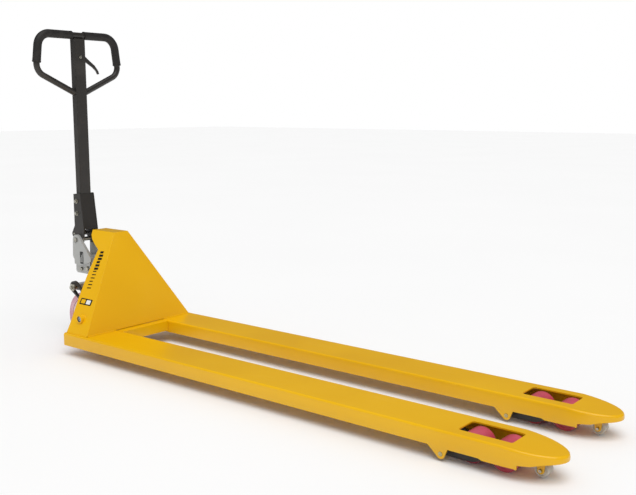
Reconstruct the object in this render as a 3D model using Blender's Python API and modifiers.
"""Manual pallet jack with long forks, lowered, handle upright.

Metres, +Z up. X runs from the handle to the fork tips, Y is across (left is +Y), Z = 0 is the floor.
Every size below is measured from the rear end of the forks; the whole object is then moved by
CENTRE_X so that its origin lies at the middle of its length.
"""
import math

import bmesh
import bpy
from mathutils import Matrix, Vector

# ---- driving sizes -------------------------------------------------------------------------------
GAP = 0.0003            # between pieces that touch
RUN = 0.0005            # between pieces that turn or slide on each other

FORK_LENGTH = 1.916
FORK_WIDTH = 0.150
FORKS_OVERALL = 0.520
FORK_TOP = 0.085
FORK_SHEET = 0.004
FORK_EDGE = 0.007       # radius of the folded edges
SKIRT_DEPTH = 0.046
NOSE_LENGTH = 0.143
NOSE_DROP = 0.0113
NOSE_LIFT = 0.014       # how far the skirt rises along the nose
WINDOW_LENGTH = 0.153
WINDOW_WIDTH = 0.080
WINDOW_FROM_TIP = 0.131
WINDOW_CORNER = 0.008

LIFT = 0.115            # how far the forks rise

STEER_X = -0.080        # steering and ram axis
STEER_WHEEL_R = 0.100
STEER_WHEEL_W = 0.050
STEER_WHEEL_Y = 0.0775
STEER_RIM_R = 0.078
STEER_AXLE_R = 0.010

ROLLER_R = 0.040
ROLLER_W = 0.064
ROLLER_BORE = 0.010
ROLLER_AXLE_R = ROLLER_BORE - 0.002
BOGIE_BASE = 0.094      # between the two load rollers of a bogie
BOGIE_X = FORK_LENGTH - 0.202
BOGIE_Z = 0.034
BRACKET_REACH = 0.974 * LIFT   # from the bracket's pivot forward to the bogie's
BRACKET_X = BOGIE_X - BRACKET_REACH
BRACKET_Z = 0.021
LINK_SHEET = 0.005
BRACKET_SHEET = 0.006
PIN_R = 0.006

ENTRY_R = 0.018
ENTRY_W = 0.030
ENTRY_X = FORK_LENGTH - 0.063
ENTRY_Z = 0.024
ENTRY_AXLE_R = 0.004

ROCKER_X = 0.055        # pivot of the rocker in the cheeks
ROCKER_Z = 0.138
ROCKER_SHAFT_R = 0.011
ROCKER_SHEET = 0.012
LEVER_LENGTH = 0.073
TRUNNION_Z = 0.228
TRUNNION_R = 0.010
EAR_INNER_Y = 0.137
EAR_TIP_R = 0.0225
EAR_WAIST_R = 0.0175
SLOT_R = TRUNNION_R + 0.0068   # leaves the trunnion room on its arc

BULKHEAD_X = 0.123
BULKHEAD_HALF = FORKS_OVERALL / 2 - 0.010
BULKHEAD_TOP = 0.435
BULKHEAD_TOP_X = 0.026
BULKHEAD_TOP_HALF = 0.032
BULKHEAD_SHEET = 0.005
HEAD_REACH = 0.026      # how far the head goes behind the ram axis
BOSS_R = 0.0155
BOSS_PROUD = 0.014

BEAM_LENGTH = 0.058
BEAM_FRONT = 0.156
BEAM_SHEET = 0.005

RAM_R = 0.0175
CYLINDER_R = 0.030
CYLINDER_TOP = 0.345
STEM_R = 0.026          # pump foot that passes down through the thrust plate
PUMP_BASE = 0.254
PUMP_HALF = 0.036
EAR_SHEET = 0.011

PIVOT_X = -0.195        # handle pivot
PIVOT_Z = 0.388
PIVOT_R = 0.008
HANDLE_SWING = 75.0
PRESS_ARM = 0.035       # pressure roller from the handle pivot
PRESS_R = 0.012
PRESS_PIN_R = 0.004
PLUNGER_R = 0.009
HOUSING_R = 0.023
HOUSING_TOP = 0.318

STEM_X = -0.197         # handle stem
STEM_ACROSS = 0.050
STEM_DEEP = 0.030
STEM_WALL = 0.0025
STEM_FOOT = 0.455
STEM_TOP = 1.168
BASE_HALF = 0.034
BASE_SHEET = 0.005
BASE_TOP = 0.572
LOOP_TOP = 1.180
LOOP_TUBE_R = 0.0115
GRIP_R = 0.0155
LOOP_HALF = 0.187
LOOP_LOW = 0.958
LEVER_PIVOT_Z = 1.098   # pivot of the finger lever

# ---- sizes that follow ---------------------------------------------------------------------------
FORK_Y = (FORKS_OVERALL - FORK_WIDTH) / 2
SKIRT_LOW = FORK_TOP - SKIRT_DEPTH
REAR_X = PIVOT_X - PRESS_ARM * math.cos(math.radians(HANDLE_SWING / 2)) - HOUSING_R - 0.004
CENTRE_X = -(REAR_X + FORK_LENGTH) / 2
SIDES = (("left", 1), ("right", -1))
EAR_OUTER_Y = EAR_INNER_Y + ROCKER_SHEET

PARTS = bpy.data.collections.new("pallet_jack")
CUTTERS = bpy.data.collections.new("cutters")


def clear_scene():
    for old in list(bpy.data.objects):
        bpy.data.objects.remove(old, do_unlink=True)
    bpy.context.scene.collection.children.link(PARTS)
    bpy.context.scene.collection.children.link(CUTTERS)


# ---- materials -----------------------------------------------------------------------------------
def paint(name, colour, roughness, metallic=0.0):
    material = bpy.data.materials.new(name)
    material.use_nodes = True
    shader = material.node_tree.nodes["Principled BSDF"]
    shader.inputs["Base Color"].default_value = (*colour, 1.0)
    shader.inputs["Roughness"].default_value = roughness
    shader.inputs["Metallic"].default_value = metallic
    return material


YELLOW = paint("yellow_paint", (0.80, 0.40, 0.01), 0.30)
BLACK = paint("black_paint", (0.03, 0.028, 0.026), 0.45)
ZINC = paint("zinc_plate", (0.62, 0.62, 0.60), 0.35, 1.0)
STEEL = paint("bright_steel", (0.55, 0.55, 0.56), 0.25, 1.0)
CASTING = paint("grey_casting", (0.50, 0.50, 0.49), 0.50, 0.2)
POLYURETHANE = paint("red_polyurethane", (0.55, 0.06, 0.10), 0.40)
NYLON = paint("grey_nylon", (0.55, 0.54, 0.50), 0.50)
RUBBER = paint("black_rubber", (0.03, 0.03, 0.03), 0.75)
RIM = paint("rim_grey", (0.60, 0.52, 0.52), 0.45)


# ---- shape helpers -------------------------------------------------------------------------------
def link(name, mesh, material=None):
    piece = bpy.data.objects.new(name, mesh)
    (PARTS if material else CUTTERS).objects.link(piece)
    if material:
        mesh.materials.clear()
        mesh.materials.append(material)
    else:
        piece.hide_render = True
        piece.display_type = "WIRE"
    return piece


def mesh_from(name, bm):
    bmesh.ops.recalc_face_normals(bm, faces=bm.faces)
    mesh = bpy.data.meshes.new(name)
    bm.to_mesh(mesh)
    bm.free()
    return mesh


def block(name, low, high, material=None):
    """A box between two corners."""
    low, high = Vector(low), Vector(high)
    bm = bmesh.new()
    bmesh.ops.create_cube(bm, size=1.0)
    bmesh.ops.scale(bm, vec=high - low, verts=bm.verts)
    bmesh.ops.translate(bm, vec=(low + high) / 2, verts=bm.verts)
    return link(name, mesh_from(name, bm), material)


def bar(name, start, end, radius, material=None, sides=16):
    """A round bar between two points."""
    start, end = Vector(start), Vector(end)
    along = end - start
    bm = bmesh.new()
    bmesh.ops.create_cone(bm, cap_ends=True, segments=sides, radius1=radius, radius2=radius,
                          depth=along.length)
    turn = Vector((0, 0, 1)).rotation_difference(along).to_matrix().to_4x4()
    bmesh.ops.transform(bm, matrix=Matrix.Translation((start + end) / 2) @ turn, verts=bm.verts)
    piece = link(name, mesh_from(name, bm), material)
    shade_round(piece)
    return piece


def shade_round(piece):
    for face in piece.data.polygons:
        face.use_smooth = True
    piece.data.set_sharp_from_angle(angle=math.radians(35))


def ring(centre, radius, count=20, start=0.0, sweep=360.0):
    """Points round an arc in the plane of a plate."""
    steps = count if sweep == 360.0 else count - 1
    angles = [math.radians(start + sweep * i / steps) for i in range(count)]
    return [(centre[0] + radius * math.cos(a), centre[1] + radius * math.sin(a)) for a in angles]


def hull(circles, count=24):
    """The outline of a belt round circles given as (x, z, radius)."""
    points = [p for x, z, r in circles for p in ring((x, z), r, count)]
    points = sorted(set(points))

    def half(seq):
        out = []
        for p in seq:
            while len(out) > 1 and cross(out[-2], out[-1], p) <= 1e-12:
                out.pop()
            out.append(p)
        return out[:-1]

    return half(points) + half(points[::-1])


def cross(a, b, c):
    return (b[0] - a[0]) * (c[1] - a[1]) - (b[1] - a[1]) * (c[0] - a[0])


def plate(name, outline, near, far, material=None, holes=(), plane="XZ"):
    """A flat outline with holes, as thick as the distance from near to far across its plane."""
    curve = bpy.data.curves.new(name, "CURVE")
    curve.dimensions = "2D"
    curve.fill_mode = "BOTH"
    curve.extrude = abs(far - near) / 2
    for path in (outline, *holes):
        spline = curve.splines.new("POLY")
        spline.points.add(len(path) - 1)
        for point, (u, v) in zip(spline.points, path):
            point.co = (u, v, 0.0, 1.0)
        spline.use_cyclic_u = True
    flat = bpy.data.objects.new(name + "_outline", curve)
    bpy.context.scene.collection.objects.link(flat)
    bpy.context.view_layer.update()
    mesh = bpy.data.meshes.new_from_object(flat.evaluated_get(bpy.context.evaluated_depsgraph_get()))
    bpy.data.objects.remove(flat)
    bm = bmesh.new()
    bm.from_mesh(mesh)
    bmesh.ops.remove_doubles(bm, verts=bm.verts, dist=0.00001)
    middle = (near + far) / 2
    if plane == "XZ":
        place = Matrix.Translation((0, middle, 0)) @ Matrix.Rotation(math.radians(90), 4, "X")
    elif plane == "YZ":
        place = Matrix(((0, 0, 1, middle), (1, 0, 0, 0), (0, 1, 0, 0), (0, 0, 0, 1)))
    else:
        place = Matrix.Translation((0, 0, middle))
    bmesh.ops.transform(bm, matrix=place, verts=bm.verts)
    return link(name, mesh_from(name, bm), material)


def cut(piece, cutter, operation="DIFFERENCE"):
    step = piece.modifiers.new(operation.lower(), "BOOLEAN")
    step.operation = operation
    step.solver = "EXACT"
    step.object = cutter
    return piece


def weld(piece, *others):
    for other in others:
        cut(piece, other, "UNION")
    return piece


def pivot(piece, x, y, z):
    """Puts the piece's origin on its joint."""
    piece.data.transform(Matrix.Translation((-x, -y, -z)))
    piece.location = (x, y, z)
    return piece


def polar(centre, radius, degrees):
    angle = math.radians(degrees)
    return centre[0] + radius * math.cos(angle), centre[1] + radius * math.sin(angle)


# ---- frame ---------------------------------------------------------------------------------------
def fork_outline(inset, grow=0.0):
    """Plan of one fork about its own middle: straight sides and a half-ellipse nose."""
    half = FORK_WIDTH / 2 - inset
    start = FORK_LENGTH - NOSE_LENGTH
    reach = NOSE_LENGTH - inset
    nose = [(start + reach * math.sin(math.radians(a)), -half * math.cos(math.radians(a)))
            for a in range(0, 181, 10)]
    return [(-grow, -half), *nose, (-grow, half)]


def fork_solid(name, inset, low, high, y, material=None, edge=0.0, grow=0.0):
    """The fork plan as a solid whose top drops along the nose."""
    piece = plate(name, [(x, y + v) for x, v in fork_outline(inset, grow)], low, high, material, plane="XY")
    start = FORK_LENGTH - NOSE_LENGTH
    bm = bmesh.new()
    bm.from_mesh(piece.data)
    bmesh.ops.dissolve_limit(bm, angle_limit=0.001, verts=bm.verts, edges=bm.edges)
    top = max(bm.faces, key=lambda face: face.calc_center_median().z)
    ends = [vert for vert in top.verts if abs(vert.co.x - start) < 0.0001]
    bmesh.utils.face_split(top, ends[0], ends[1])
    for vert in bm.verts:
        if vert.co.z > (low + high) / 2 and vert.co.x > start + 0.0001:
            vert.co.z -= NOSE_DROP * (vert.co.x - start) / NOSE_LENGTH
    bm.to_mesh(piece.data)
    bm.free()
    if edge:
        weight = piece.data.attributes.new("bevel_weight_edge", "FLOAT", "EDGE")
        for index, line in enumerate(piece.data.edges):
            ends = [piece.data.vertices[i].co for i in line.vertices]
            on_top = all(p.z > high - NOSE_DROP - 0.0001 for p in ends)
            across = abs(ends[0].x - ends[1].x) < 0.0001 and abs(ends[0].y - ends[1].y) > FORK_WIDTH / 2
            weight.data[index].value = 1.0 if on_top and not across else 0.0
        fold = piece.modifiers.new("fold", "BEVEL")
        fold.limit_method = "WEIGHT"
        fold.width = edge
        fold.segments = 3
    return piece


def skirt_line():
    """Side view of what is cut away below the skirts, from the heel to the nose."""
    ear_r = PIN_R + 0.007
    window_end = FORK_LENGTH - WINDOW_FROM_TIP
    lug_x = window_end + 0.027
    ear = ring((BRACKET_X, BRACKET_Z), ear_r, 9, 215, 110)
    return [(-0.02, SKIRT_LOW), (BRACKET_X - 0.039, SKIRT_LOW), *ear,
            (BRACKET_X + 0.020, SKIRT_LOW - 0.002), (window_end - 0.075, SKIRT_LOW - 0.002),
            (window_end - 0.065, SKIRT_LOW - 0.006), (lug_x - 0.006, SKIRT_LOW - 0.006),
            (lug_x, SKIRT_LOW - 0.008), (lug_x + 0.001, SKIRT_LOW + 0.004),
            (FORK_LENGTH - 0.070, SKIRT_LOW + 0.007), (FORK_LENGTH - 0.045, SKIRT_LOW + NOSE_LIFT),
            (FORK_LENGTH + 0.02, SKIRT_LOW + NOSE_LIFT + 0.006), (FORK_LENGTH + 0.02, -0.05), (-0.02, -0.05)]


def make_fork(side, sign):
    y = sign * FORK_Y
    fork = fork_solid(side + "_fork", 0.0, 0.0, FORK_TOP, y, YELLOW, edge=FORK_EDGE)
    cut(fork, fork_solid(side + "_fork_inside", FORK_SHEET, -0.05, FORK_TOP - FORK_SHEET, y,
                         edge=FORK_EDGE - FORK_SHEET, grow=0.01))
    cut(fork, plate(side + "_skirt_cut", skirt_line(), y - FORK_WIDTH, y + FORK_WIDTH))
    middle = FORK_LENGTH - WINDOW_FROM_TIP - WINDOW_LENGTH / 2
    window = []
    for u, v, start in ((1, 1, 0), (-1, 1, 90), (-1, -1, 180), (1, -1, 270)):
        corner = (middle + u * (WINDOW_LENGTH / 2 - WINDOW_CORNER),
                  y + v * (WINDOW_WIDTH / 2 - WINDOW_CORNER))
        window += ring(corner, WINDOW_CORNER, 5, start, 90)
    cut(fork, plate(side + "_window_cut", window, 0.05, FORK_TOP + 0.02, plane="XY"))
    slot_y = sign * (FORK_Y - 0.012)
    slot_x = ROCKER_X + LEVER_LENGTH * 0.11
    cut(fork, block(side + "_lever_slot", (slot_x - 0.052, slot_y - 0.022, 0.05),
                    (slot_x + 0.050, slot_y + 0.022, FORK_TOP + 0.02)))
    cut(fork, bar(side + "_bracket_pin_bore", (BRACKET_X, y - FORK_WIDTH, BRACKET_Z),
                  (BRACKET_X, y + FORK_WIDTH, BRACKET_Z), PIN_R + GAP))
    rib_top = FORK_TOP - FORK_SHEET / 2 - NOSE_DROP * (ENTRY_X - FORK_LENGTH + NOSE_LENGTH) / NOSE_LENGTH
    for name, way in (("inner", -1), ("outer", 1)):
        near = y + way * (ENTRY_W / 2 + 0.0015)
        rib = hull([(ENTRY_X, ENTRY_Z, 0.009)])
        rib = [p for p in rib if p[1] < ENTRY_Z]
        rib = sorted(rib) + [(ENTRY_X + 0.014, rib_top - 0.001), (ENTRY_X - 0.014, rib_top)]
        weld(fork, plate(side + "_" + name + "_rib", rib, near, near + way * 0.004))
    cut(fork, bar(side + "_entry_bore", (ENTRY_X, y - 0.035, ENTRY_Z), (ENTRY_X, y + 0.035, ENTRY_Z),
                  ENTRY_AXLE_R + GAP, sides=16))
    score(fork, BULKHEAD_X + 0.022)
    return fork


def score(piece, x):
    """An edge across the faces at x, so that the open deck is its own flat face."""
    bm = bmesh.new()
    bm.from_mesh(piece.data)
    everything = [*bm.verts, *bm.edges, *bm.faces]
    bmesh.ops.bisect_plane(bm, geom=everything, plane_co=(x, 0, 0), plane_no=(1, 0, 0), dist=0.000001)
    bm.to_mesh(piece.data)
    bm.free()


def cheek_half(z):
    """Half width of the bulkhead's outside at a height."""
    share = (z - FORK_TOP) / (BULKHEAD_TOP - FORK_TOP)
    return BULKHEAD_HALF + share * (BULKHEAD_TOP_HALF - BULKHEAD_HALF)


def cheek_rear():
    """Rear edge of a cheek, from the fork up and round under the head."""
    rise = BULKHEAD_TOP - FORK_TOP
    head = STEER_X - HEAD_REACH
    return [(0.003, FORK_TOP + 3 * GAP), (0.000, FORK_TOP + 0.11 * rise), (-0.013, FORK_TOP + 0.31 * rise),
            (-0.022, FORK_TOP + 0.55 * rise), (-0.025, FORK_TOP + 0.815 * rise),
            (-0.055, FORK_TOP + 0.855 * rise), (-0.085, FORK_TOP + 0.905 * rise),
            (head + 0.005, FORK_TOP + 0.95 * rise), (head, BULKHEAD_TOP)]


def make_bulkhead():
    """One folded sheet: a sloping front, a cheek on each side and the head plate over the ram."""
    bm = bmesh.new()
    base = FORK_TOP + 3 * GAP
    front = {}
    for side, sign in SIDES:
        low = bm.verts.new((BULKHEAD_X, sign * cheek_half(base), base))
        high = bm.verts.new((BULKHEAD_TOP_X, sign * BULKHEAD_TOP_HALF, BULKHEAD_TOP))
        rear = [bm.verts.new((x, sign * cheek_half(z), z)) for x, z in cheek_rear()]
        bm.faces.new([low, high, *rear[::-1]])
        front[side] = (low, high, rear[-1])
    (l_low, l_high, l_rear), (r_low, r_high, r_rear) = front["left"], front["right"]
    bm.faces.new([l_low, r_low, r_high, l_high])
    bm.faces.new([l_high, r_high, r_rear, l_rear])
    bulkhead = link("bulkhead", mesh_from("bulkhead", bm), YELLOW)
    wall = bulkhead.modifiers.new("sheet", "SOLIDIFY")
    wall.thickness = BULKHEAD_SHEET
    wall.offset = -1.0
    wall.use_even_offset = True
    cut(bulkhead, block("bulkhead_foot_cut", (-0.1, -0.4, FORK_TOP - 0.03), (0.3, 0.4, base + GAP)))
    for side, sign in SIDES:
        ends = (ROCKER_X, sign * boss_start(), ROCKER_Z), (ROCKER_X, sign * boss_end(), ROCKER_Z)
        weld(bulkhead, bar(side + "_boss", *ends, BOSS_R))
        hole = (ROCKER_X, sign * 0.10, ROCKER_Z), (ROCKER_X, sign * 0.30, ROCKER_Z)
        cut(bulkhead, bar(side + "_boss_bore", *hole, ROCKER_SHAFT_R + GAP))
    return bulkhead


def boss_start():
    return FORK_Y


def boss_end():
    return cheek_half(ROCKER_Z) + BOSS_PROUD


def make_frame():
    for side, sign in SIDES:
        make_fork(side, sign)
        bar(side + "_rocker_shaft", (ROCKER_X, sign * (EAR_INNER_Y + 0.004), ROCKER_Z),
            (ROCKER_X, sign * (boss_end() - 0.003), ROCKER_Z), ROCKER_SHAFT_R, STEEL)
        y = sign * FORK_Y
        half = FORK_WIDTH / 2 + 0.001
        bar(side + "_bracket_pin", (BRACKET_X, y - half, BRACKET_Z), (BRACKET_X, y + half, BRACKET_Z),
            PIN_R, ZINC)
        bar(side + "_entry_axle", (ENTRY_X, y - 0.026, ENTRY_Z), (ENTRY_X, y + 0.026, ENTRY_Z),
            ENTRY_AXLE_R, ZINC, sides=12)
    make_bulkhead()
    half = FORKS_OVERALL / 2 - FORK_WIDTH - GAP
    low = (BEAM_FRONT - BEAM_LENGTH, -half, FORK_TOP - SKIRT_DEPTH + 0.006)
    beam = block("heel_beam", low, (BEAM_FRONT, half, FORK_TOP - 0.0005), YELLOW)
    cut(beam, block("heel_beam_inside", (low[0] + BEAM_SHEET, -half - 0.01, low[2] - 0.01),
                    (BEAM_FRONT - BEAM_SHEET, half + 0.01, FORK_TOP - BEAM_SHEET)))
    head_low = BULKHEAD_TOP - BULKHEAD_SHEET - 2 * GAP
    cup = bar("ram_cup", (STEER_X, 0, head_low - 0.022), (STEER_X, 0, head_low), 0.0245, YELLOW)
    cut(cup, bar("ram_cup_inside", (STEER_X, 0, head_low - 0.03), (STEER_X, 0, head_low - 0.008),
                 RAM_R + GAP, sides=24))
    ram_foot = PUMP_BASE - LIFT
    bar("ram", (STEER_X, 0, ram_foot), (STEER_X, 0, head_low - 0.008 - GAP), RAM_R, STEEL, sides=24)


# ---- lifting linkage -----------------------------------------------------------------------------
def make_rocker():
    """Two rear ears, two levers that reach down into the forks, their hubs and one cross tube."""
    reach = math.hypot(ROCKER_X - STEER_X, TRUNNION_Z - ROCKER_Z)
    start = math.degrees(math.atan2(TRUNNION_Z - ROCKER_Z, STEER_X - ROCKER_X))
    swing = rocker_swing()
    tube = (ROCKER_X + 0.028, ROCKER_Z - 0.008)
    hub_r = ROCKER_SHAFT_R + 0.007
    rocker = bar("rocker", (tube[0], -EAR_INNER_Y - 0.006, tube[1]), (tube[0], EAR_INNER_Y + 0.006, tube[1]),
                 0.0115, BLACK)
    for side, sign in SIDES:
        near, far = sign * EAR_INNER_Y, sign * EAR_OUTER_Y
        tip = polar((ROCKER_X, ROCKER_Z), reach + 0.002, start)
        waist = polar((ROCKER_X, ROCKER_Z), 0.045, start)
        ear = (hull([(*tip, EAR_TIP_R), (*waist, EAR_WAIST_R)], 12),
               hull([(*waist, EAR_WAIST_R), (ROCKER_X, ROCKER_Z, 0.022), (*tube, 0.015)], 12))
        for index, outline in enumerate(ear):
            weld(rocker, plate(f"{side}_ear_{index}", outline, near, far))
        slot_near = polar((ROCKER_X, ROCKER_Z), (reach * math.cos(math.radians(180 - start))) - 0.001, start)
        slot_far = polar((ROCKER_X, ROCKER_Z), reach, start)
        cut(rocker, plate(side + "_ear_slot", hull([(*slot_near, SLOT_R), (*slot_far, SLOT_R - 0.004)], 12),
                          near - sign * 0.01, far + sign * 0.01))
        hub_end = sign * (FORK_Y - 0.001)
        weld(rocker, bar(side + "_hub", (ROCKER_X, near + sign * 0.001, ROCKER_Z),
                         (ROCKER_X, hub_end, ROCKER_Z), hub_r))
        foot = polar((ROCKER_X, ROCKER_Z), LEVER_LENGTH, 270 - swing / 2)
        lever = hull([(ROCKER_X, ROCKER_Z, 0.020), (*foot, 0.013)], 12)
        lever_near = sign * (FORK_Y - 0.007)
        lever_far = sign * (FORK_Y - 0.019)
        weld(rocker, plate(side + "_lever", lever, lever_near, lever_far))
        cut(rocker, bar(side + "_hub_bore", (ROCKER_X, near - sign * 0.02, ROCKER_Z),
                        (ROCKER_X, hub_end + sign * 0.02, ROCKER_Z), ROCKER_SHAFT_R + GAP))
        cut(rocker, bar(side + "_lever_bore", (foot[0], lever_near + sign * 0.01, foot[1]),
                        (foot[0], lever_far - sign * 0.01, foot[1]), PIN_R + GAP))
        pin = bar(side + "_lever_pin", (foot[0], lever_far - sign * 0.003, foot[1]),
                  (foot[0], sign * (FORK_Y + 0.008), foot[1]), PIN_R, ZINC, sides=12)
        pivot(pin, ROCKER_X, 0, ROCKER_Z)
    pivot(rocker, ROCKER_X, 0, ROCKER_Z)


def rocker_swing():
    """How far the rocker turns for the full lift, in degrees."""
    across = ROCKER_X - STEER_X
    up = TRUNNION_Z - ROCKER_Z
    return math.degrees(math.atan2(up, across) - math.atan2(up - LIFT, across))


def rod_travel():
    return 2 * LEVER_LENGTH * math.sin(math.radians(rocker_swing() / 2))


def bracket_swing():
    across, up = BOGIE_X - BRACKET_X, BOGIE_Z - BRACKET_Z
    arm = math.hypot(across, up)
    return math.degrees(math.atan2(up, across) + math.asin((LIFT - up) / arm))


def bracket_arm():
    """Push-pin radius that gives the bracket its swing for the rod's travel."""
    return rod_travel() / (2 * math.sin(math.radians(bracket_swing() / 2)))


def make_push_rod(side, sign):
    y = sign * FORK_Y
    back = polar((ROCKER_X, ROCKER_Z), LEVER_LENGTH, 270 - rocker_swing() / 2)
    arm = bracket_arm()
    front = polar((BRACKET_X, BRACKET_Z), arm, 90 + bracket_swing() / 2)
    back_play = LEVER_LENGTH - (ROCKER_Z - back[1])
    front_play = arm - (front[1] - BRACKET_Z)
    back_z = back[1] - back_play / 2
    front_z = front[1] + front_play / 2
    back_r = PIN_R + back_play / 2 + RUN
    front_r = PIN_R + front_play / 2 + RUN
    near, far = y - 0.006, y + 0.006
    rod = bar(side + "_push_rod", (back[0], y, back_z), (front[0], y, front_z), 0.0065, ZINC, sides=12)
    for end, (x, z, hole_r) in (("back", (back[0], back_z, back_r)), ("front", (front[0], front_z, front_r))):
        weld(rod, plate(f"{side}_rod_{end}", ring((x, z), hole_r + 0.004, 20), near, far))
        cut(rod, plate(f"{side}_rod_{end}_hole", ring((x, z), hole_r, 20), near - 0.01, far + 0.01))
    return rod


def make_load_end(side, sign):
    y = sign * FORK_Y
    push = polar((BRACKET_X, BRACKET_Z), bracket_arm(), 90 + bracket_swing() / 2)
    bogie_plate = ROLLER_W / 2 + 0.0015
    bracket_plate = bogie_plate + LINK_SHEET + 0.0015
    bracket = bar(side + "_roller_bracket", (BRACKET_X, y - bracket_plate - 0.001, BRACKET_Z),
                  (BRACKET_X, y + bracket_plate + 0.001, BRACKET_Z), PIN_R + 0.0055, BLACK)
    for name, way in (("inner", -1), ("outer", 1)):
        near = y + way * bracket_plate
        far = near + way * BRACKET_SHEET
        cheek = hull([(BRACKET_X, BRACKET_Z, 0.0125), (*push, 0.0105), (BRACKET_X + 0.045, 0.032, 0.010)], 12)
        arm = hull([(BRACKET_X, BRACKET_Z, 0.0125), (BRACKET_X + 0.076, 0.0235, 0.014),
                    (BOGIE_X, BOGIE_Z, 0.0115)], 12)
        weld(bracket, plate(f"{side}_{name}_cheek", cheek, near, far))
        weld(bracket, plate(f"{side}_{name}_arm", arm, near, far))
    reach = bracket_plate + BRACKET_SHEET + 0.01
    for name, (x, z) in (("pivot", (BRACKET_X, BRACKET_Z)), ("push", push), ("bogie", (BOGIE_X, BOGIE_Z))):
        cut(bracket, bar(f"{side}_bracket_{name}_bore", (x, y - reach, z), (x, y + reach, z), PIN_R + GAP))
    pivot(bracket, BRACKET_X, y, BRACKET_Z)
    outside = bracket_plate + BRACKET_SHEET + 0.001
    pin = bar(side + "_push_pin", (push[0], y - outside, push[1]), (push[0], y + outside, push[1]), PIN_R,
              ZINC)
    pivot(pin, BRACKET_X, y, BRACKET_Z)
    axle_x = [BOGIE_X - BOGIE_BASE / 2, BOGIE_X + BOGIE_BASE / 2]
    bogie = bar(side + "_bogie", (BOGIE_X, y - outside, BOGIE_Z), (BOGIE_X, y + outside, BOGIE_Z), PIN_R,
                BLACK)
    bogie_reach = bogie_plate + LINK_SHEET + 0.01
    for name, way in (("inner", -1), ("outer", 1)):
        near = y + way * bogie_plate
        circles = [(axle_x[0], ROLLER_R, 0.013), (axle_x[1], ROLLER_R, 0.013), (BOGIE_X, BOGIE_Z, 0.013)]
        weld(bogie, plate(f"{side}_{name}_link", hull(circles, 16), near, near + way * LINK_SHEET))
    for place, x in zip(("rear", "front"), axle_x):
        cut(bogie, bar(f"{side}_{place}_axle_bore", (x, y - bogie_reach, ROLLER_R),
                       (x, y + bogie_reach, ROLLER_R), ROLLER_AXLE_R + GAP))
        axle_end = bogie_plate + LINK_SHEET + 0.0008
        axle = bar(f"{side}_{place}_roller_axle", (x, y - axle_end, ROLLER_R), (x, y + axle_end, ROLLER_R),
                   ROLLER_AXLE_R, ZINC, sides=12)
        pivot(axle, BOGIE_X, y, BOGIE_Z)
        make_roller(f"{side}_{place}_load_roller", x, y, ROLLER_R, ROLLER_R, ROLLER_W,
                    ROLLER_AXLE_R + RUN, POLYURETHANE)
    pivot(bogie, BOGIE_X, y, BOGIE_Z)
    make_roller(side + "_entry_roller", ENTRY_X, y, ENTRY_Z, ENTRY_R, ENTRY_W, ENTRY_AXLE_R + RUN, NYLON)


def make_roller(name, x, y, z, radius, width, bore, material, sides=32):
    """A turned roller on the Y axis, with chamfered rims."""
    half = width / 2
    edge = min(0.003, radius * 0.1)
    profile = [(radius - edge, half), (radius, half - edge), (radius, -half + edge), (radius - edge, -half),
               (bore, -half), (bore, half)]
    return turned(name, profile, (x, y, z), material, sides)


def turned(name, profile, centre, material, sides=32):
    """A closed profile of (radius, across) points turned about the Y axis."""
    bm = bmesh.new()
    verts = [bm.verts.new((r, v, 0.0)) for r, v in profile]
    edges = [bm.edges.new((verts[i], verts[(i + 1) % len(verts)])) for i in range(len(verts))]
    bmesh.ops.spin(bm, geom=verts + edges, cent=(0, 0, 0), axis=(0, 1, 0), angle=math.tau, steps=sides,
                   use_merge=True, use_duplicate=False)
    bmesh.ops.remove_doubles(bm, verts=bm.verts, dist=0.00001)
    piece = link(name, mesh_from(name, bm), material)
    shade_round(piece)
    piece.location = centre
    return piece


# ---- steering end --------------------------------------------------------------------------------
def make_thrust_plate():
    """The cross bar that the rocker's ears hang on, and the bearing that the pump turns on."""
    half = TRUNNION_R + 0.003
    arm_end = EAR_INNER_Y - GAP
    plate_top = TRUNNION_Z + half
    thrust = bar("thrust_plate", (STEER_X, 0, plate_top - 0.022), (STEER_X, 0, plate_top), STEM_R + 0.020,
                 CASTING, sides=24)
    weld(thrust, block("thrust_arms", (STEER_X - 0.014, -arm_end, TRUNNION_Z - half + 0.001),
                       (STEER_X + 0.014, arm_end, plate_top - 0.001)))
    cut(thrust, bar("thrust_bore", (STEER_X, 0, 0.15), (STEER_X, 0, 0.30), STEM_R + RUN, sides=24))
    bearing = bar("thrust_bearing", (STEER_X, 0, plate_top + GAP), (STEER_X, 0, PUMP_BASE - GAP),
                  STEM_R + 0.014, STEEL, sides=24)
    cut(bearing, bar("thrust_bearing_bore", (STEER_X, 0, 0.2), (STEER_X, 0, 0.3), STEM_R + RUN, sides=24))
    for side, sign in SIDES:
        pin = bar(side + "_trunnion", (STEER_X, sign * (arm_end + GAP), TRUNNION_Z),
                  (STEER_X, sign * (EAR_OUTER_Y + RUN + 0.003), TRUNNION_Z), TRUNNION_R, ZINC)
        weld(pin, bar(side + "_trunnion_head", (STEER_X, sign * (EAR_OUTER_Y + RUN), TRUNNION_Z),
                      (STEER_X, sign * (EAR_OUTER_Y + 0.009), TRUNNION_Z), TRUNNION_R + 0.0045))


def plunger_x():
    return PIVOT_X - PRESS_ARM * (1 + math.cos(math.radians(HANDLE_SWING / 2))) / 2


def press_centre():
    return polar((PIVOT_X, PIVOT_Z), PRESS_ARM, 180 - HANDLE_SWING / 2)


def plunger_travel():
    return 2 * PRESS_ARM * math.sin(math.radians(HANDLE_SWING / 2))


def plunger_top():
    return press_centre()[1] - PRESS_R - 0.001


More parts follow.
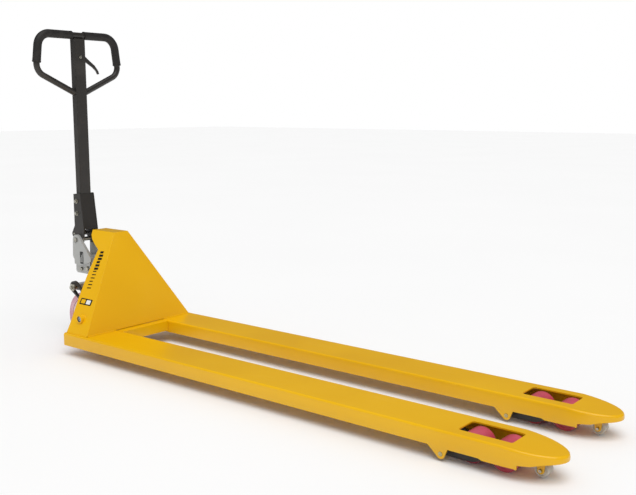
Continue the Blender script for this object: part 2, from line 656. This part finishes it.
def make_pump():
    """One casting: cylinder, foot, axle hub, valve block, plunger housing and two pivot ears."""
    pump = bar("pump_body", (STEER_X, 0, PUMP_BASE + 0.004), (STEER_X, 0, CYLINDER_TOP), CYLINDER_R, CASTING,
               sides=24)
    hub_half = STEER_WHEEL_Y - STEER_WHEEL_W / 2 - 0.0015
    weld(pump, bar("pump_flange", (STEER_X, 0, PUMP_BASE), (STEER_X, 0, PUMP_BASE + 0.016), STEM_R + 0.017,
                   sides=24))
    weld(pump, bar("pump_stem", (STEER_X, 0, STEER_WHEEL_R + 0.003), (STEER_X, 0, PUMP_BASE + 0.01), STEM_R,
                   sides=24))
    weld(pump, bar("axle_hub", (STEER_X, -hub_half, STEER_WHEEL_R), (STEER_X, hub_half, STEER_WHEEL_R),
                   STEER_AXLE_R + 0.010, sides=24))
    x = plunger_x()
    ear_r = PIVOT_R + 0.013
    weld(pump, block("valve_block", (x + 0.016, -PUMP_HALF, PUMP_BASE + 0.0015),
                     (STEER_X - 0.012, PUMP_HALF, 0.322)))
    weld(pump, bar("plunger_housing", (x, 0, PUMP_BASE + 0.002), (x, 0, HOUSING_TOP), HOUSING_R, sides=24))
    ear = hull([(PIVOT_X, PIVOT_Z, ear_r), (PIVOT_X - 0.010, 0.325, 0.014), (PIVOT_X + 0.075, 0.318, 0.014),
                (PIVOT_X + 0.01, 0.30, 0.014)], 12)
    for side, sign in SIDES:
        weld(pump, plate(side + "_pump_ear", ear, sign * (PUMP_HALF - 0.001), sign * (PUMP_HALF + EAR_SHEET)))
        low = (PIVOT_X - 0.022, min(sign * PUMP_HALF - 0.006, sign * PUMP_HALF + 0.006), 0.290)
        high = (STEER_X - 0.040, max(sign * PUMP_HALF - 0.006, sign * PUMP_HALF + 0.006), 0.3215)
        weld(pump, block(side + "_ear_root", low, high))
    bore_foot = PUMP_BASE - LIFT - 0.004
    cut(pump, bar("ram_bore", (STEER_X, 0, bore_foot), (STEER_X, 0, 0.5), RAM_R + RUN, sides=24))
    cut(pump, bar("plunger_bore", (x, 0, PUMP_BASE + 0.009), (x, 0, 0.5), PLUNGER_R + RUN))
    cut(pump, bar("axle_bore", (STEER_X, -0.1, STEER_WHEEL_R), (STEER_X, 0.1, STEER_WHEEL_R),
                  STEER_AXLE_R + GAP))
    cut(pump, bar("pivot_bore", (PIVOT_X, -0.1, PIVOT_Z), (PIVOT_X, 0.1, PIVOT_Z), PIVOT_R + GAP))
    gland = bar("ram_gland", (STEER_X, 0, CYLINDER_TOP + GAP), (STEER_X, 0, CYLINDER_TOP + 0.010),
                RAM_R + 0.008, BLACK, sides=24)
    cut(gland, bar("gland_bore", (STEER_X, 0, 0.3), (STEER_X, 0, 0.5), RAM_R + RUN, sides=24))
    axle_half = STEER_WHEEL_Y + STEER_WHEEL_W / 2 + 0.004
    bar("steer_axle", (STEER_X, -axle_half, STEER_WHEEL_R), (STEER_X, axle_half, STEER_WHEEL_R),
        STEER_AXLE_R, STEEL)
    shaft_half = PUMP_HALF + EAR_SHEET + 0.004
    bar("handle_shaft", (PIVOT_X, -shaft_half, PIVOT_Z), (PIVOT_X, shaft_half, PIVOT_Z), PIVOT_R, ZINC)
    make_plunger(x)


def make_plunger(x):
    top = plunger_top()
    foot = HOUSING_TOP - 0.006
    plunger = bar("plunger", (x, 0, foot - 0.004), (x, 0, top - 0.001), PLUNGER_R, STEEL)
    weld(plunger, bar("plunger_cap", (x, 0, top - 0.006), (x, 0, top), PLUNGER_R + 0.0055))
    low, high = HOUSING_TOP + 0.0015, top - 0.006 - 0.0015
    turns, steps = 6, 8
    wire = 0.0016
    coil_r = PLUNGER_R + 0.0012 + wire
    curve = bpy.data.curves.new("plunger_spring", "CURVE")
    curve.dimensions = "3D"
    curve.bevel_depth = wire
    curve.bevel_resolution = 1
    curve.use_fill_caps = True
    spline = curve.splines.new("POLY")
    count = turns * steps + 1
    spline.points.add(count - 1)
    for index, point in enumerate(spline.points):
        angle = math.tau * index / steps
        rise = low + wire + (high - low - 2 * wire) * index / (count - 1)
        point.co = (x + coil_r * math.cos(angle), coil_r * math.sin(angle), rise, 1.0)
    tube("plunger_spring", curve, STEEL)


def tube(name, curve, material):
    """A curve's tube as a closed mesh."""
    guide = bpy.data.objects.new(name + "_path", curve)
    bpy.context.scene.collection.objects.link(guide)
    bpy.context.view_layer.update()
    mesh = bpy.data.meshes.new_from_object(guide.evaluated_get(bpy.context.evaluated_depsgraph_get()))
    bpy.data.objects.remove(guide)
    bm = bmesh.new()
    bm.from_mesh(mesh)
    bmesh.ops.remove_doubles(bm, verts=bm.verts, dist=0.00001)
    piece = link(name, mesh_from(name, bm), material)
    shade_round(piece)
    return piece


def make_wheels():
    for side, sign in SIDES:
        y = sign * STEER_WHEEL_Y
        half = STEER_WHEEL_W / 2
        centre = (STEER_X, y, STEER_WHEEL_R)
        rim = STEER_RIM_R
        tyre = [(STEER_WHEEL_R - 0.005, half), (STEER_WHEEL_R, half - 0.006), (STEER_WHEEL_R, -half + 0.006),
                (STEER_WHEEL_R - 0.005, -half), (rim + GAP, -half), (rim + GAP, half)]
        turned(side + "_steer_tyre", tyre, centre, RIM, 48)
        bore = STEER_AXLE_R + RUN
        hub_r, web = 0.024, 0.007
        hub = [(rim, half - 0.002), (rim, -half + 0.002), (rim - 0.006, -half + 0.002), (rim - 0.009, -web),
               (hub_r + 0.003, -web), (hub_r, -half + 0.001), (bore, -half + 0.001), (bore, half - 0.001),
               (hub_r, half - 0.001), (hub_r + 0.003, web), (rim - 0.009, web), (rim - 0.006, half - 0.002)]
        turned(side + "_steer_rim", hub, centre, RIM, 32)


# ---- handle --------------------------------------------------------------------------------------
def make_handle():
    press = press_centre()
    rear = STEM_X - STEM_DEEP / 2 - BASE_SHEET - GAP * 2
    base_nose = STEM_X + STEM_DEEP / 2 + BASE_SHEET + GAP
    flange = [(rear, BASE_TOP - 0.004), (base_nose - 0.004, BASE_TOP), (base_nose, BASE_TOP - 0.004),
              (STEM_X + 0.038, 0.430), (STEM_X + 0.034, 0.398), *ring((PIVOT_X, PIVOT_Z), 0.019, 7, 10, -130),
              *ring(press, 0.013, 6, 250, -90), (rear, 0.442)]
    front_gap = BASE_HALF - BASE_SHEET
    base = block("handle_base", (rear, -BASE_HALF, 0.450), (rear + BASE_SHEET, BASE_HALF, BASE_TOP - 0.004),
                 BLACK)
    front = [(base_nose - BASE_SHEET + 0.0002, BASE_TOP - 0.001), (base_nose - 0.001, BASE_TOP - 0.005),
             (STEM_X + 0.0375, 0.431), (STEM_X + 0.0330, 0.431), (base_nose - BASE_SHEET + 0.0002, 0.535)]
    front_half = front_gap - 0.001 + BASE_SHEET / 2
    weld(base, plate("base_front", front, -front_half, front_half))
    for side, sign in SIDES:
        weld(base, plate(side + "_base_flange", flange, sign * front_gap, sign * BASE_HALF))
    weld(base, block("base_seat", (rear + 0.001, -BASE_HALF + 0.001, 0.446),
                     (STEM_X + 0.020, BASE_HALF - 0.001, STEM_FOOT - GAP)))
    cut(base, bar("base_pivot_bore", (PIVOT_X, -0.1, PIVOT_Z), (PIVOT_X, 0.1, PIVOT_Z), PIVOT_R + RUN))
    cut(base, bar("press_pin_bore", (press[0], -0.1, press[1]), (press[0], 0.1, press[1]), PRESS_PIN_R + GAP,
                  sides=16))
    cut(base, bar("pull_rod_hole", (STEM_X, 0, 0.43), (STEM_X, 0, 0.47), 0.006, sides=16))
    bar("press_pin", (press[0], -BASE_HALF - 0.0008, press[1]), (press[0], BASE_HALF + 0.0008, press[1]),
        PRESS_PIN_R, ZINC, sides=12)
    make_roller("press_roller", press[0], 0, press[1], PRESS_R, 2 * (front_gap - 0.010), PRESS_PIN_R + RUN,
                STEEL, 24)
    stem = block("handle_stem", (STEM_X - STEM_DEEP / 2, -STEM_ACROSS / 2, STEM_FOOT),
                 (STEM_X + STEM_DEEP / 2, STEM_ACROSS / 2, STEM_TOP), BLACK)
    corners = stem.modifiers.new("corners", "BEVEL")
    corners.width = 0.004
    corners.segments = 2
    cut(stem, block("stem_inside", (STEM_X - STEM_DEEP / 2 + STEM_WALL, -STEM_ACROSS / 2 + STEM_WALL, 0.40),
                    (STEM_X + STEM_DEEP / 2 - STEM_WALL, STEM_ACROSS / 2 - STEM_WALL, STEM_TOP - 0.012)))
    for side, sign in SIDES:
        ends = sorted((sign * (STEM_ACROSS / 2 + GAP), sign * (front_gap + 0.001)))
        weld(base, block(side + "_packer", (STEM_X - 0.012, ends[0], STEM_FOOT + 0.010),
                         (STEM_X + 0.002, ends[1], BASE_TOP - 0.030)))
    make_loop(stem)
    make_control()
    handle = ["handle_base", "press_pin", "press_roller", "handle_stem", "handle_loop", "left_grip",
              "right_grip"]
    for name in handle:
        piece = bpy.data.objects[name]
        move = Vector(piece.location) - Vector((PIVOT_X, 0, PIVOT_Z))
        piece.data.transform(Matrix.Translation(move))
        piece.location = (PIVOT_X, 0, PIVOT_Z)


def loop_path(sign):
    """Centre line of one half of the loop, from the middle of its top down to the stem."""
    top = LOOP_TOP
    corner = 0.052
    points = [(0.0, top), (sign * (LOOP_HALF - 0.008 - corner), top)]
    centre = (sign * (LOOP_HALF - 0.008 - corner), top - corner)
    for angle in range(80, -1, -16):
        a = math.radians(angle)
        points.append((centre[0] + sign * corner * math.cos(a), centre[1] + corner * math.sin(a)))
    points.append((sign * LOOP_HALF, top - 0.115))
    bend = 0.045
    centre = (sign * (LOOP_HALF - bend), top - 0.115)
    for angle in range(-15, -61, -15):
        a = math.radians(angle)
        points.append((centre[0] + sign * bend * math.cos(a), centre[1] + bend * math.sin(a)))
    points.append((sign * (STEM_ACROSS / 2 - 0.004), LOOP_LOW))
    return points


def path_tube(name, points, radius, material=None, resolution=3):
    curve = bpy.data.curves.new(name, "CURVE")
    curve.dimensions = "3D"
    curve.bevel_depth = radius
    curve.bevel_resolution = resolution
    curve.use_fill_caps = True
    spline = curve.splines.new("POLY")
    spline.points.add(len(points) - 1)
    for point, co in zip(spline.points, points):
        point.co = (*co, 1.0)
    return tube(name, curve, material)


def make_loop(stem):
    left = loop_path(1)
    right = loop_path(-1)
    whole = right[:0:-1] + left
    loop = path_tube("handle_loop", [(STEM_X, y, z) for y, z in whole], LOOP_TUBE_R, BLACK)
    gap = LOOP_TUBE_R + GAP
    cut(loop, block("loop_clear", (STEM_X - 0.03, -STEM_ACROSS / 2 - GAP, LOOP_LOW - 0.04),
                    (STEM_X + 0.03, STEM_ACROSS / 2 + GAP, LOOP_LOW + 0.06)))
    cut(stem, path_tube("loop_notch", [(STEM_X, -0.05, LOOP_TOP), (STEM_X, 0.05, LOOP_TOP)], gap))
    for side, sign in SIDES:
        path = loop_path(sign)[1:9]
        path[0] = (sign * (STEM_ACROSS / 2 + 0.004), path[0][1])
        path[-1] = (path[-1][0], path[-1][1] + 0.004)
        grip = path_tube(side + "_grip", [(STEM_X, y, z) for y, z in path], GRIP_R, RUBBER)
        first = (path[0][0] - sign * 0.02, path[0][1])
        last = (path[-1][0], path[-1][1] - 0.02)
        inside = [first, *loop_path(sign)[1:9], last]
        cut(grip, path_tube(side + "_grip_bore", [(STEM_X, y, z) for y, z in inside], gap))


def make_control():
    """The finger lever beside the stem, and the rod inside the stem that it pulls."""
    y = 0.0
    wall = STEM_ACROSS / 2
    outline = [(y - 0.010, -0.005), (y - 0.010, 0.005), (y + 0.012, 0.006), (wall + 0.006, 0.003),
               (wall + 0.028, -0.014), (wall + 0.050, -0.030), (wall + 0.066, -0.050), (wall + 0.070, -0.062),
               (wall + 0.064, -0.064), (wall + 0.056, -0.050), (wall + 0.040, -0.037),
               (wall + 0.018, -0.024), (wall - 0.006, -0.009), (y + 0.010, -0.006)]
    lever = plate("control_lever", [(u, LEVER_PIVOT_Z + v) for u, v in outline], STEM_X - 0.004,
                  STEM_X + 0.004, BLACK, plane="YZ")
    cut(lever, bar("lever_pin_hole", (STEM_X - 0.02, y, LEVER_PIVOT_Z), (STEM_X + 0.02, y, LEVER_PIVOT_Z),
                   0.0025 + RUN, sides=16))
    pivot(lever, STEM_X, y, LEVER_PIVOT_Z)
    inner = STEM_DEEP / 2 - STEM_WALL - GAP
    pin = bar("lever_pin", (STEM_X - inner, y, LEVER_PIVOT_Z), (STEM_X + inner, y, LEVER_PIVOT_Z), 0.0025,
              ZINC, sides=12)
    pivot(pin, PIVOT_X, 0, PIVOT_Z)
    stem = bpy.data.objects["handle_stem"]
    cut(stem, block("lever_window", (STEM_X - 0.006, wall - 0.008, LEVER_PIVOT_Z - 0.026),
                    (STEM_X + 0.006, wall + 0.008, LEVER_PIVOT_Z + 0.014)))
    rod_top = LEVER_PIVOT_Z - 0.012
    rod = bar("pull_rod", (STEM_X, 0, STEM_FOOT - 0.016), (STEM_X, 0, rod_top), 0.003, ZINC, sides=12)
    pivot(rod, STEM_X, 0, rod_top)
    x, z = PIVOT_X + 0.045, 0.292
    near = PUMP_HALF + EAR_SHEET + 0.0008
    release = plate("release_lever", hull([(x, z, 0.010), (x - 0.062, z - 0.004, 0.005)], 12), near,
                    near + 0.004, BLACK)
    pivot(release, x, near, z)


def build():
    clear_scene()
    make_frame()
    make_rocker()
    for side, sign in SIDES:
        make_push_rod(side, sign)
        make_load_end(side, sign)
    make_thrust_plate()
    make_pump()
    make_wheels()
    make_handle()
    for piece in [*PARTS.objects, *CUTTERS.objects]:
        piece.location.x += CENTRE_X


build()
